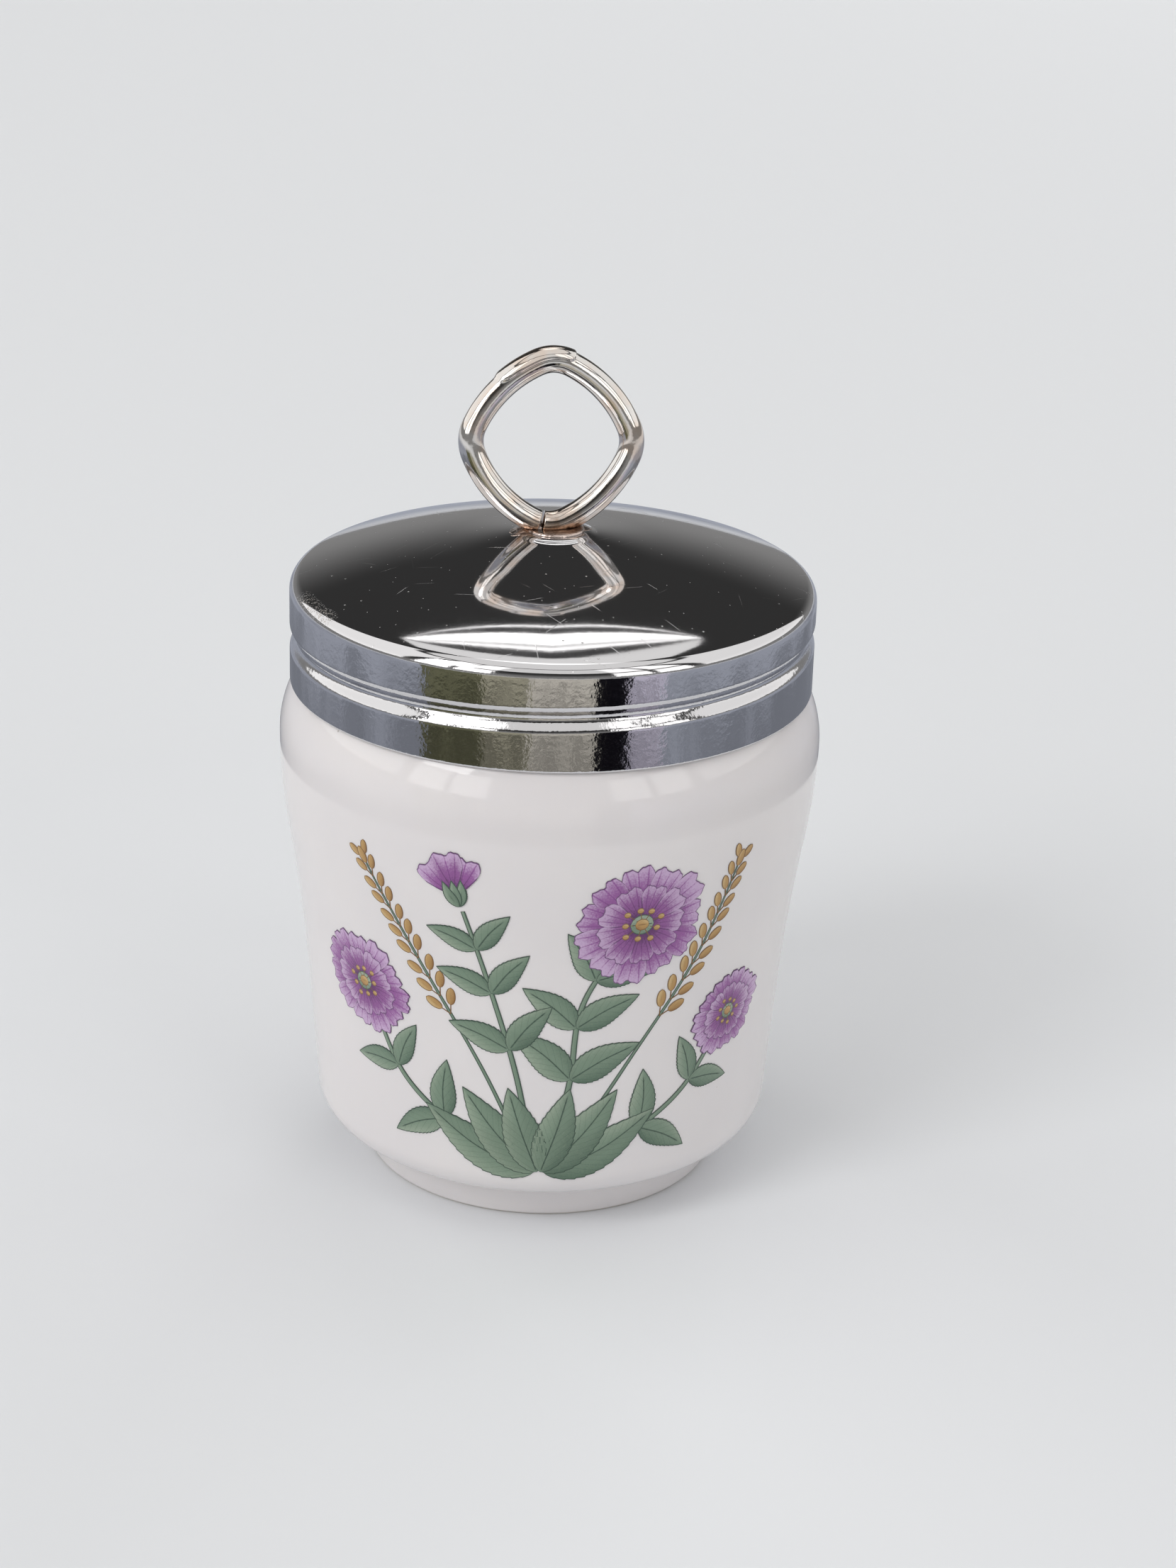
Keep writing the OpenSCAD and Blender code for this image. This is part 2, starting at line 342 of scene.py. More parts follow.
def paint(red, green, blue):
    """A colour for a socket, from the 0 to 255 numbers that a paint chart gives."""
    share = np.array([red, green, blue]) / 255
    light = np.where(share <= 0.04045, share / 12.92, ((share + 0.055) / 1.055) ** 2.4)
    return (*light.tolist(), 1.0)


def new_material(name):
    material = bpy.data.materials.new(name)
    return material, Tree(material)


# ---- finishes

GLAZE = paint(230, 226, 226)
GLAZE_BODY = {
    "IOR": 1.52,
    "Subsurface_Weight": 0.12,
    "Subsurface_Radius": (1.0, 0.85, 0.75),
    "Subsurface_Scale": 1.5 * MM,
}

# Marks on the chrome, in degrees and millimetres. Scratches: turn, length, pitch and rarity. Nicks:
# pitch, radius and rarity. Chips on the lip: angle and length
SCRATCHES = (
    (12, 9, 1.1, 0.9), (47, 7, 1.3, 0.91), (83, 11, 1.5, 0.9), (128, 8, 1.2, 0.9),
    (160, 6, 1.0, 0.92),
)
NICKS = ((0.9, 0.07, 0.95), (2.3, 0.14, 0.93))
CHIPS = ((202, 3.8), (211, 2.6))

# Inks: the dark, middle, light and outline colours, and how many veins run out of a petal's base,
# where 0 gives the ribs of a leaf
INKS = {
    "sage_ink": ((84, 108, 90), (118, 140, 120), (150, 166, 146), (40, 64, 52), 0),
    "mauve_ink": ((98, 42, 104), (146, 86, 152), (202, 172, 208), (92, 48, 102), 2.0),
    "ochre_ink": ((146, 104, 56), (186, 146, 88), (212, 182, 130), (120, 84, 46), 0),
}


def porcelain():
    """White glaze over porcelain: faint waves and specks, and a dry ground land under the foot."""
    material, tree = new_material("porcelain_glaze")
    place = tree.place()
    height = tree.parts(place)[2]
    ground = height.eased(0.35 * MM, 0.1 * MM)
    waves = tree.relief(place, (9.0, 0.02, 2.0), (1.6, 0.0008, 1.0))
    cells = {"Vector": place, "Scale": 260.0}
    speck = tree.add("TexVoronoi", {"feature": "F1"}, cells, "Distance")
    rare = tree.noise(place, 6.0, 0.0).eased(0.66, 0.68)
    dot = speck.eased(0.05, 0.03) * rare
    cloud = tree.noise(place, 14.0, 2.0).eased(0.3, 0.7)
    tone = tree.mix(cloud, GLAZE, paint(227, 223, 224))
    tone = tree.mix(dot * 0.5, tone, paint(150, 140, 130))
    tone = tree.mix(ground, tone, paint(214, 207, 198))
    tree.finish(
        Base_Color=tone,
        Roughness=tree.noise(place, 5.0, 3.0) * 0.03 + 0.045 + ground * 0.6,
        Normal=tree.bump(waves),
        **GLAZE_BODY,
    )
    return material


def sheet_chrome():
    """Chrome on pressed brass: orange peel on the skirt, fine scratches and nicks on the dome, and
    small chips on the left of the lip."""
    material, tree = new_material("chrome_sheet")
    place = tree.place()
    x, y, z = tree.parts(place)
    dome = z.eased((LIP_Z - 0.6) * MM, (LIP_Z + 1.0) * MM)
    pebbles = tree.relief(place, (0.7, 0.022, 2.0), (2.6, 0.01, 1.0), (0.28, 0.006, 1.0))
    dents = tree.relief(place, (9.0, 0.006, 1.0))
    hair = sum_of(scratches(tree, place, *kind) for kind in SCRATCHES)
    hair = hair * (tree.noise(place, 10.0, 1.0).eased(0.35, 0.65) * 0.8 + 0.2)
    nick = sum_of(nicks(tree, place, *kind) for kind in NICKS)
    marks = (hair * 0.5 + nick * 0.8) * dome
    chips = sum_of(chip_mask(tree, place, *kind) for kind in CHIPS)
    chips = chips * tree.noise(place, 0.25, 2.0, 0.6).eased(0.58, 0.62)
    chips = chips * z.eased((LIP_Z + 0.6) * MM, (LIP_Z + 1.0) * MM)
    chips = chips * hypotenuse(x, y).eased((LID_D / 2 - 2.0) * MM, (LID_D / 2 - 1.4) * MM)
    haze = tree.noise(place, 4.0, 3.0)
    tone = tree.mix(marks.math("MINIMUM", 1.0) * 0.5, paint(216, 215, 217), paint(244, 243, 241))
    tone = tree.mix(chips, tone, paint(214, 206, 196))
    tree.finish(
        Base_Color=tone,
        Metallic=1.0,
        Roughness=0.035 + haze * 0.03 + marks * 0.42 + chips * 0.35 + (1 - dome) * 0.03,
        Normal=tree.bump(pebbles * (1 - dome * 0.97) + dents - marks * 0.02 + chips * 0.03),
    )
    return material


def scratches(tree, place, turn, length, pitch, rarity):
    """Straight fine scratches along one direction: at most one in each cell of length by pitch
    millimetres, at its own place, slope and share of the length, in the cells above the rarity."""
    along, across, _ = tree.parts(tree.turned(place, turn))
    along, across = along / (length * MM), across / (pitch * MM)
    shift, slope, chance = tree.random(along.math("FLOOR"), across.math("FLOOR"), turn)
    along, across = along.math("FRACT"), across.math("FRACT")
    gap = abs(across - 0.3 - shift * 0.4 - (along - 0.5) * (slope - 0.5) * 0.5)
    start = shift * 0.5
    run = (along - start).eased(0, 0.2) * (along - start - 0.45).eased(0.04, -0.15)
    return gap.eased(0.05 / pitch, 0.015 / pitch) * run * (chance - rarity).eased(0, 0.1)


def nicks(tree, place, pitch, radius, rarity):
    """Small nicks, at most one in each cell of pitch millimetres, in the cells above the rarity."""
    x, y, _ = tree.parts(place)
    x, y = x / (pitch * MM), y / (pitch * MM)
    across, down, chance = tree.random(x.math("FLOOR"), y.math("FLOOR"), pitch)
    x, y = x.math("FRACT") - 0.25 - across * 0.5, y.math("FRACT") - 0.25 - down * 0.5
    spot = hypotenuse(x, y).eased(radius / pitch, radius * 0.5 / pitch)
    return spot * (chance - rarity).eased(0, 0.01)


def chip_mask(tree, place, angle, length):
    """1 near a place on the lip at that angle, falling to 0 over length millimetres."""
    radius = LID_D / 2 - 0.9
    spot = (radius * cosd(angle) * MM, radius * sind(angle) * MM, (LIP_Z + 1.5) * MM)
    gap = tree.add("VectorMath", {"operation": "DISTANCE"}, [place, spot], "Value")
    return gap.eased(length * MM, length * 0.4 * MM)


def wire_chrome():
    """Plated wire: small dents, warm patches and painted shade, brown low down by the braze."""
    material, tree = new_material("plated_wire")
    place = tree.place()
    z = tree.parts(place)[2]
    patch = tree.noise(place, 2.2, 3.0, 0.6)
    # Painted shade: the wire turns brown from 3.2 mm above its base down to 1 mm, by the braze, and
    # is rougher there
    base_shade = (z + patch * (3 * MM)).eased((LOOP_BASE_Z + 3.2) * MM, (LOOP_BASE_Z + 1.0) * MM)
    warm = tree.noise(place, 3.5, 2.0).eased(0.42, 0.68)
    tone = tree.mix(warm * 0.7, paint(222, 219, 216), paint(224, 204, 188))
    # The brown of the painted shade at the wire's base
    tone = tree.mix(base_shade, tone, paint(168, 138, 114))
    dents = tree.relief(place, (1.6, 0.02, 2.0), (0.3, 0.0012, 1.0))
    tree.finish(
        Base_Color=tone,
        Metallic=1.0,
        Roughness=0.05 + patch * 0.05 + base_shade * 0.1,
        Normal=tree.bump(dents),
    )
    return material


def braze_metal():
    """Brown-gold filler metal, frozen in small lumps with flux stains."""
    material, tree = new_material("braze")
    place = tree.place()
    lumps = tree.noise(place, 0.8, 3.0, 0.6)
    stain = tree.noise(place, 1.5, 3.0).eased(0.52, 0.7)
    tree.finish(
        Base_Color=tree.mix(stain, paint(206, 190, 182), paint(86, 68, 58)),
        Metallic=1.0,
        Roughness=0.2 + stain * 0.3,
        Normal=tree.bump(lumps * 0.12),
    )
    return material


def print_ink(name):
    """Printed colour under the glaze. Attribute ink holds millimetres along, across and to the
    flank; tone holds millimetres to the tip, a tint and the share of the length."""
    *colours, veins = INKS[name]
    dark, middle, light, outline = (paint(*colour) for colour in colours)
    material, tree = new_material(name)
    along, across, half = tree.attribute("ink")
    tip, tint, share = tree.attribute("tone")
    grain = tree.noise(tree.place(), 0.22, 3.0)
    edge = (half - abs(across)).math("MINIMUM", tip)
    rim = edge.eased(0.17, 0.09)
    side = across / half
    if veins:
        lines = abs((side * veins).math("FRACT") - 0.5).eased(0.38, 0.5)
        shade = share * 1.15 + lines * -0.22 + grain * 0.5 - 0.4 + tint
        vein = lines * share.eased(0.95, 0.5) * 0.45
    else:
        lines = abs(((along - abs(across) * 1.5) / 1.25).math("FRACT") - 0.5).eased(0.44, 0.5)
        shade = side * 0.35 + 0.36 + share * 0.3 + grain * 0.25 - 0.12 + tint
        vein = lines * 0.35 + abs(across).eased(0.12, 0.05) * 0.8
        vein = vein * half.eased(0.5, 0.9)
    fill = tree.mix(shade.eased(0.0, 0.5), dark, middle)
    fill = tree.mix(shade.eased(0.5, 1.0), fill, light)
    fill = tree.mix(vein, fill, outline)
    tree.finish(
        Base_Color=tree.mix(rim * 0.85, fill, outline),
        Roughness=0.06,
        **GLAZE_BODY,
    )
    return material


# ---- pot

side_angle = math.degrees(math.atan(SIDE_SLOPE))
heel_z = UNDERSIDE_Z + HEEL_R * (1 - sind(side_angle))
neck_r = NECK_D / 2
shoulder_c = np.array([BELLY_D / 2 - SHOULDER_R, BELLY_Z])
fillet_dx = neck_r + NECK_FILLET - shoulder_c[0]
fillet_dz = math.sqrt((SHOULDER_R + NECK_FILLET) ** 2 - fillet_dx**2)
fillet_c = np.array([neck_r + NECK_FILLET, BELLY_Z + fillet_dz])
shoulder_end = math.degrees(math.atan2(fillet_c[1] - BELLY_Z, fillet_dx))


def pot_side(inset, low_z):
    """The pot's side from low_z up to the belly, moved inwards by inset."""
    stations = [
        (low_z, HEEL_D / 2 + SIDE_SLOPE * (low_z - heel_z) - inset, SIDE_SLOPE),
        (WAIST_Z, WAIST_D / 2 - inset, SIDE_SLOPE),
        (FLARE_Z, FLARE_D / 2 - inset, FLARE_SLOPE),
        (BELLY_Z, BELLY_D / 2 - inset, 0.0),
    ]
    return join(*[fair(low, high) for low, high in zip(stations, stations[1:])])


def pot_outline():
    """The section, from the axis under the foot, up the outside and down to the axis inside."""
    fillet = (UNDERSIDE_Z - FOOT_ROUND) / 5
    inner_r = SHOULDER_R - WALL
    inner_neck_r = neck_r - 2 * MOUTH_ROUND
    inner_angle = math.degrees(math.acos((inner_neck_r - shoulder_c[0]) / inner_r))
    floor_side_z = FLOOR_Z + FLOOR_R * (1 - sind(side_angle))
    inner_side = pot_side(WALL, floor_side_z)
    land_r = FOOT_D / 2 - FOOT_LAND
    heel_c = (HEEL_D / 2 - HEEL_R * cosd(side_angle), UNDERSIDE_Z + HEEL_R)
    floor_c = (inner_side[0][0] - FLOOR_R * cosd(side_angle), FLOOR_Z + FLOOR_R)
    neck_top = MOUTH_Z - MOUTH_ROUND
    return join(
        line((0, FOOT_RECESS), (land_r - 2 * FOOT_ROUND, FOOT_RECESS), 2.0),
        arc((land_r - 2 * FOOT_ROUND, FOOT_RECESS - FOOT_ROUND), FOOT_ROUND, 90, 0, 0.12),
        arc((land_r, FOOT_ROUND), FOOT_ROUND, 180, 270, 0.12),
        arc((FOOT_D / 2 - FOOT_ROUND, FOOT_ROUND), FOOT_ROUND, -90, 0, 0.12),
        arc((FOOT_TOP_D / 2 + fillet, UNDERSIDE_Z - fillet), fillet, 180, 90, 0.15),
        arc(heel_c, HEEL_R, -90, -side_angle, 0.4),
        pot_side(0, heel_z),
        arc(shoulder_c, SHOULDER_R, 0, shoulder_end, 0.4),
        arc(fillet_c, NECK_FILLET, 180 + shoulder_end, 180, 0.15),
        line((neck_r, fillet_c[1]), (neck_r, neck_top), 0.14),
        arc((neck_r - MOUTH_ROUND, neck_top), MOUTH_ROUND, 0, 180, 0.2),
        arc(shoulder_c, inner_r, inner_angle, 0, 0.5),
        inner_side[::-1],
        arc(floor_c, FLOOR_R, -side_angle, -90, 0.5),
        line((floor_c[0], FLOOR_Z), (0, FLOOR_Z), 2.0),
    )


def neck_thread(r, z, angle):
    """The outside of the neck swells by the moulded thread; the rest keeps its radius."""
    outside = (np.abs(r - neck_r) < 0.3) & (z > fillet_c[1] - 0.2)
    swell = thread(z, angle, RIDGE_Z, RIDGE_W, RIDGE_SWEEP) * (NECK_CREST_D / 2 - neck_r)
    return r + np.where(outside, swell, 0)


# ---- lid

dome_edge_r = LID_D / 2 - LIP_R * (1 - sind(DOME_SLOPE))
dome_r = dome_edge_r / sind(DOME_SLOPE)
dome_c = LIP_Z + (LIP_R - dome_r) * cosd(DOME_SLOPE)
seat_foot_r = SEAT_D / 2 + SEAT_SKIRT


def crown_z(r, inset):
    """Height of the dome at radius r, moved inwards by inset; its crown is drawn up to the seat."""
    drawn = (CROWN_D / 2 - r) / (CROWN_D / 2 - seat_foot_r)
    return dome_c + np.sqrt((dome_r - inset) ** 2 - r * r) + CROWN_H * drawn**2


seat_z = crown_z(seat_foot_r, 0) + SEAT_H


def lid_side(inset, step):
    """The lid's surface, from the axis on the seat, over the dome and lip, to the skirt's edge."""
    top_z, foot_z = seat_z - inset, crown_z(seat_foot_r, inset)
    foot_slope = (crown_z(seat_foot_r + 0.01, inset) - foot_z) / 0.01
    count = int(9 / step)
    t = np.linspace(1, 0, count)
    height = foot_z + (top_z - foot_z) * ease(t) - SEAT_SKIRT * foot_slope * t * (1 - t) ** 2
    r = np.linspace(seat_foot_r, CROWN_D / 2, count)
    edge_angle = math.degrees(math.acos(CROWN_D / 2 / (dome_r - inset)))
    return join(
        line((0, top_z), (SEAT_D / 2, top_z), 1.2),
        np.column_stack([seat_foot_r - SEAT_SKIRT * t, height]),
        np.column_stack([r, crown_z(r, inset)]),
        arc((0, dome_c), dome_r - inset, edge_angle, 90 - DOME_SLOPE, 2.2 * step),
        arc((LID_D / 2 - LIP_R, LIP_Z), LIP_R - inset, 90 - DOME_SLOPE, 0, 0.3 * step),
        line((LID_D / 2 - inset, LIP_Z), (LID_D / 2 - inset, SKIRT_Z + SHEET / 2), 0.27 * step),
    )


def lid_outline():
    """The sheet's whole section: outside, rounded cut edge and inside."""
    edge = arc((LID_D / 2 - SHEET / 2, SKIRT_Z + SHEET / 2), SHEET / 2, 0, -180, 0.08)
    return join(lid_side(0, 0.5), edge, lid_side(SHEET, 0.9)[::-1])


def rolled_groove(r, z, angle):
    """The skirt draws in along the rolled thread, outside as a groove and inside as a ridge."""
    outside = r > LID_D / 2 - SHEET / 2
    width = np.where(outside, GROOVE_W, GROOVE_W + 0.3)
    wave = thread(z, angle, GROOVE_Z, width, GROOVE_SWEEP)
    skirt = (r > LID_D / 2 - SHEET - 0.01) & (z < LIP_Z)
    return r - np.where(skirt, wave * GROOVE_DEPTH, 0)


# ---- lifting loop

def bow_centre(c1, r1, c2, r2, radius):
    """Centre of an arc that touches two bends from outside the line between their centres."""
    gap = np.linalg.norm(c2 - c1)
    e = (c2 - c1) / gap
    t = ((radius - r1) ** 2 - (radius - r2) ** 2 + gap * gap) / (2 * gap)
    return c1 + t * e - math.sqrt((radius - r1) ** 2 - t * t) * np.array([-e[1], e[0]])


def bend(centre, radius, start, end, step=0.12):
    """Places [x, z, bearing] of the wire's centre line on a bend; the bearing points outwards."""
    places = arc(centre, radius, start, end, step)
    return np.column_stack([places, np.linspace(start, end, len(places))])


def loop_line():
    """The wire's centre line: four bends joined by four bowed runs, from one cut end to the other.
    Each half starts at its cut end, beside the middle, and the left half is a mirror image."""
    top_c = np.array([0, LOOP_TOP_Z - TOP_BEND])
    side_c = np.array([LOOP_W / 2 - SIDE_BEND, LOOP_MID_Z])
    base_c = np.array([0, LOOP_BASE_Z + BASE_BEND])
    upper_c = bow_centre(top_c, TOP_BEND, side_c, SIDE_BEND, UPPER_BOW)
    lower_c = bow_centre(side_c, SIDE_BEND, base_c, BASE_BEND, LOWER_BOW)
    top_a, side_top_a = course(top_c - upper_c), course(side_c - upper_c)
    side_low_a, base_a = course(side_c - lower_c), course(base_c - lower_c)
    right, left = (
        join(
            bend(base_c, BASE_BEND, math.degrees(math.asin(end_x / BASE_BEND)) - 90, base_a),
            bend(lower_c, LOWER_BOW, base_a, side_low_a),
            bend(side_c, SIDE_BEND, side_low_a, side_top_a),
            bend(upper_c, UPPER_BOW, side_top_a, top_a),
            bend(top_c, TOP_BEND, top_a, 90),
        )
        for end_x in (END_GAP / 2 + END_SHIFT, END_GAP / 2 - END_SHIFT)
    )
    return join(right, left[::-1] * (-1, 1, -1) + (0, 0, 180))


def wire_rings():
    """Circles swept along the loop, closed at both cut ends, with the pressed pad raised on top,
    a shallow clamp mark at each side and the base ground flat."""
    places = loop_line()
    around = np.linspace(0, 360, WIRE_AROUND, endpoint=False)[None, :]
    x, z, a = (places[:, k : k + 1] for k in range(3))
    turn = (around + 180) % 360 - 180
    pad_middle, pad_half = (PAD_FROM + PAD_TO) / 2, (PAD_TO - PAD_FROM) / 2
    pad = 1 - (np.abs(a - pad_middle) / pad_half) ** 6
    pad = pad - (np.abs(turn - PAD_TURN) / PAD_SPREAD) ** 6
    radius = WIRE_D / 2 + PAD_H * ease(pad / 0.5)
    for middle, side in CLAMP_MARKS:
        mark = 1 - ((a - middle) / CLAMP_SPREAD) ** 2 - ((turn - side) / CLAMP_SPREAD) ** 2
        radius = radius - CLAMP_DEPTH * ease(mark / 0.9)
    rings = wire_ring(x, z, a, radius, around)
    ends = [wire_ring(x[k], z[k], a[k], radius[k] * 0.93, around)[0] for k in (0, -1)]
    steps = [(rings[0] - rings[1]).mean(0), (rings[-1] - rings[-2]).mean(0)]
    caps = [end + unit(step) * 0.06 for end, step in zip(ends, steps)]
    tips = [np.repeat(cap.mean(0)[None], len(cap), axis=0) for cap in caps]
    rings = np.concatenate([[tips[0]], [caps[0]], rings, [caps[1]], [tips[1]]])
    foot = np.array([0, 0, LOOP_BASE_Z])
    lean = Euler(np.radians([-LOOP_LEAN, LOOP_TILT, LOOP_TURN]), "XYZ").to_matrix()
    rings = (rings - foot) @ np.array(lean).T + foot + (LOOP_SHIFT, 0, 0)
    rings[..., 2] = np.maximum(rings[..., 2], seat_z + BRAZE_T + 2 * BRAZE_GAP)
    return rings


def wire_ring(x, z, a, radius, around):
    """Circles of the wire at places of its centre line; around counts from the loop's outside."""
    out, side = radius * np.cos(np.radians(around)), -radius * np.sin(np.radians(around))
    a = np.radians(a)
    return np.stack([x + out * np.cos(a), side + 0 * x, z + out * np.sin(a)], axis=-1)


# ---- braze

def braze_rings():
    """The frozen filler under the loop: a lumpy mound that fills the wedge between the rising wire
    and the crown. u runs along the loop's base, v across."""
    around = np.radians(np.linspace(0, 360, BRAZE_AROUND, endpoint=False))
    share = np.concatenate([np.linspace(0, 1, 40), [1.0]])[:, None]
    wobble = 1 + 0.05 * np.sin(3 * around + 1) + 0.04 * np.sin(5 * around + 2.2)
    wobble = wobble + 0.03 * np.sin(11 * around)
    u = BRAZE_ALONG * share * np.cos(around) * wobble
    v = BRAZE_ACROSS * share * np.sin(around) * wobble * (1 + 0.15 * np.cos(around) ** 2)
    x = LOOP_SHIFT + u * cosd(LOOP_TURN) - v * sind(LOOP_TURN)
    y = u * sind(LOOP_TURN) + v * cosd(LOOP_TURN)
    side = lid_side(0, 0.5)
    ground = np.interp(np.hypot(x, y), side[:80, 0], side[:80, 1])
    places = loop_line()
    low = places[places[:, 2] < -25]
    wire_x = low[:, 0] + WIRE_D / 2 * np.cos(np.radians(low[:, 2]))
    wire_z = low[:, 1] + WIRE_D / 2 * np.sin(np.radians(low[:, 2]))
    order = np.argsort(wire_x)
    under = np.maximum(np.interp(np.abs(u), wire_x[order], wire_z[order]), seat_z + BRAZE_T)
    fill = np.minimum(under - ground + 0.2, BRAZE_FILL) * (1 - 0.5 * (v / 2.2) ** 2)
    lumps = 0.07 * np.sin(2.9 * u + 1.3 * v) * np.sin(3.7 * v - 1.9 * u + 0.6)
    height = (fill + lumps) * ease((1 - share) / 0.6)
    z = ground + 0.01 + np.maximum(height, 0.004)
    z[-1] = ground[-1] - 0.2
    rings = np.stack([x, y, z], axis=-1)
    return np.concatenate([rings, rings[-1:]])


# ---- printed flowers

# The print is drawn on the pot unrolled at PRINT_R. Its plates reach SUNK into the glaze and stand
# PLATE_LIFT out of it, each LAYER_LIFT over the last
PRINT_R, SUNK, PLATE_LIFT, LAYER_LIFT = 30.0, 0.06, 0.02, 0.0006

# Petals of a flower by ring: how many, their length as a share of the radius, half their angle and
# the turn of the ring
PETALS = ((11, 1.0, 20, 0), (9, 0.7, 23, 16))

side_r, side_z = pot_side(0, heel_z).T


def on_pot(x, y, lift):
    """Points and outward normals on the pot at x millimetres round from the front and height y."""
    a = math.radians(FRONT) + x / PRINT_R
    r = np.interp(y, side_z, side_r)
    slope = np.interp(y, side_z, np.gradient(side_r, side_z))
    normal = unit(np.stack([np.cos(a), np.sin(a), -slope], axis=-1))
    base = np.stack([r * np.cos(a), r * np.sin(a), y + 0 * a], axis=-1)
    return base + normal * lift, normal


def spline(points, count):
    """Places and unit directions on a smooth curve: between two points, the cubic whose slope at
    each is half the step between its neighbours."""
    p = np.asarray(points, float)
    p = np.vstack([2 * p[0] - p[1], p, 2 * p[-1] - p[-2]])
    t = np.linspace(0, len(p) - 3, count)
    i = np.minimum(t.astype(int), len(p) - 4)
    f = (t - i)[:, None]
    a, b, c, d = p[i], p[i + 1], p[i + 2], p[i + 3]
    cubic = 3 * b - a - 3 * c + d
    place = b + 0.5 * ((c - a) * f + (2 * a - 5 * b + 4 * c - d) * f**2 + cubic * f**3)
    return place, unit(np.gradient(place, axis=0))


class Print:
    """Thin plates of one ink, gathered into one piece on the glaze."""

    def __init__(self):
        self.points, self.faces, self.normals, self.ink, self.tone = [], [], [], [], []
        self.count = 0

    def plate(self, x, y, lift, ink, tone):
        """A closed plate over a grid of places on the unrolled pot."""
        rows, columns = x.shape
        top, normal = on_pot(x, y, lift)
        under, _ = on_pot(x, y, -SUNK)
        index = np.arange(rows * columns).reshape(rows, columns)
        below = index + rows * columns
        rim = np.concatenate([index[0, :-1], index[:-1, -1], index[-1, :0:-1], index[:0:-1, 0]])
        beside = np.roll(rim, -1)
        wall = np.stack([beside, rim, rim + rows * columns, beside + rows * columns], axis=-1)
        faces = np.vstack([grid_faces(index), grid_faces(below)[:, ::-1], wall])
        across = np.diff(x, axis=1)[:-1] * np.diff(y, axis=0)[:, :-1]
        across = across - np.diff(y, axis=1)[:-1] * np.diff(x, axis=0)[:, :-1]
        if across.sum() < 0:
            faces = faces[:, ::-1]
        self.points += [top.reshape(-1, 3), under.reshape(-1, 3)]
        self.normals += [normal.reshape(-1, 3), -normal.reshape(-1, 3)]
        self.ink += [ink.reshape(-1, 3)] * 2
        self.tone += [tone.reshape(-1, 3)] * 2
        self.faces += (faces + self.count).tolist()
        self.count += 2 * rows * columns

    def ribbon(self, points, half, lift, tint=0.0, rows=32, columns=7):
        """A strip along a smooth curve; half gives its half-width at each share of the length."""
        place, ahead = spline(points, rows)
        share = np.linspace(0, 1, rows)[:, None]
        side = np.linspace(-1, 1, columns)[None, :]
        width = half(share)
        x = place[:, :1] - ahead[:, 1:] * width * side
        y = place[:, 1:] + ahead[:, :1] * width * side
        step = np.linalg.norm(np.diff(place, axis=0), axis=1)
        along = np.concatenate([[0], np.cumsum(step)])[:, None] + 0 * side
        full = 0 * x
        ink = np.stack([along, width * side, width + full], axis=-1)
        tone = np.stack([full + 9.0, full + tint, share + full], axis=-1)
        self.plate(x, y, lift, ink, tone)

    def thin(self, points, low, high, lift):
        """A dark thread, its half-width going from low to high."""
        self.ribbon(points, stem_width(low, high), lift, -0.4, rows=4, columns=3)

    def petal(self, centre, facing, length, spread, lift, tint, notch, tilt=(0, 1.0)):
        """A fan from its base out to a rim with a notch; tilt is the angle along which the whole
        flower keeps its size, and the share to which it is flattened across it."""
        share = np.linspace(0.08, 1, 18)[:, None]
        side = np.linspace(-1, 1, 19)[None, :]
        open_ = spread * (0.42 + 0.58 * ease(share / 0.62))
        angle = side * open_
        reach = length * (1 - notch * np.exp(-((side / 0.22) ** 2)) - 0.34 * np.abs(side) ** 5)
        reach = reach * (1 + 0.015 * np.sin(side * 17 + tint * 40))
        distance = share * reach
        kept, flat = tilt
        a = np.radians(facing + angle) - math.radians(kept)
        u, v = distance * np.cos(a), distance * np.sin(a) * flat
        x = centre[0] + u * cosd(kept) - v * sind(kept)
        y = centre[1] + u * sind(kept) + v * cosd(kept)
        full = 0 * x
        arc_half = distance * np.radians(open_)
        ink = np.stack([distance, arc_half * side, arc_half + full], axis=-1)
        tone = np.stack([reach * (1 - share), full + tint, share + full], axis=-1)
        self.plate(x, y, lift, ink, tone)

    def disc(self, centre, radius, lift, tint=0.0, stretch=1.0, turn=0.0):
        """A round or oval spot."""
        self.ribbon(
            [centre + stretch * radius * s * direction(turn) for s in (-1, 0, 1)],
            lambda share: radius * np.sqrt(np.clip(1 - (2 * share - 1) ** 2, 0.004, 1)),
            lift, tint, rows=13, columns=7,
        )

    def piece(self, name, material):
        """The gathered plates as one piece on the pot, shaded as the glaze over them."""
        piece = make(name, np.vstack(self.points), self.faces, "pot", "porcelain", material)
        mesh = piece.data
        for label, rows in (("ink", self.ink), ("tone", self.tone)):
            layer = mesh.attributes.new(label, "FLOAT_VECTOR", "POINT")
            layer.data.foreach_set("vector", np.vstack(rows).astype(np.float32).ravel())
        mesh.normals_split_custom_set_from_vertices(np.vstack(self.normals).tolist())
        return piece


def grid_faces(index):
    """The quads between neighbouring rows and columns of a grid of vertex numbers."""
    corners = [index[:-1, :-1], index[:-1, 1:], index[1:, 1:], index[1:, :-1]]
    return np.stack(corners, axis=-1).reshape(-1, 4)


def direction(angle):
    """The way an angle points, one long."""
    return np.array([cosd(angle), sind(angle)])


def stem_width(low, high):
    """The half-width of a stem that goes evenly from low to high."""
    return lambda share: low + (high - low) * share


def leaf_width(half):
    """Narrow at the stalk, widest a third of the way and drawn to a point, with a fine saw edge."""
    def width(share):
        body = np.sin(math.pi * np.clip(share, 0, 1) ** 0.72) ** 0.85
        saw = 1 + 0.07 * ((share * 13) % 1 - 0.5)
        return np.maximum(half * body * saw, 0.04)
    return width


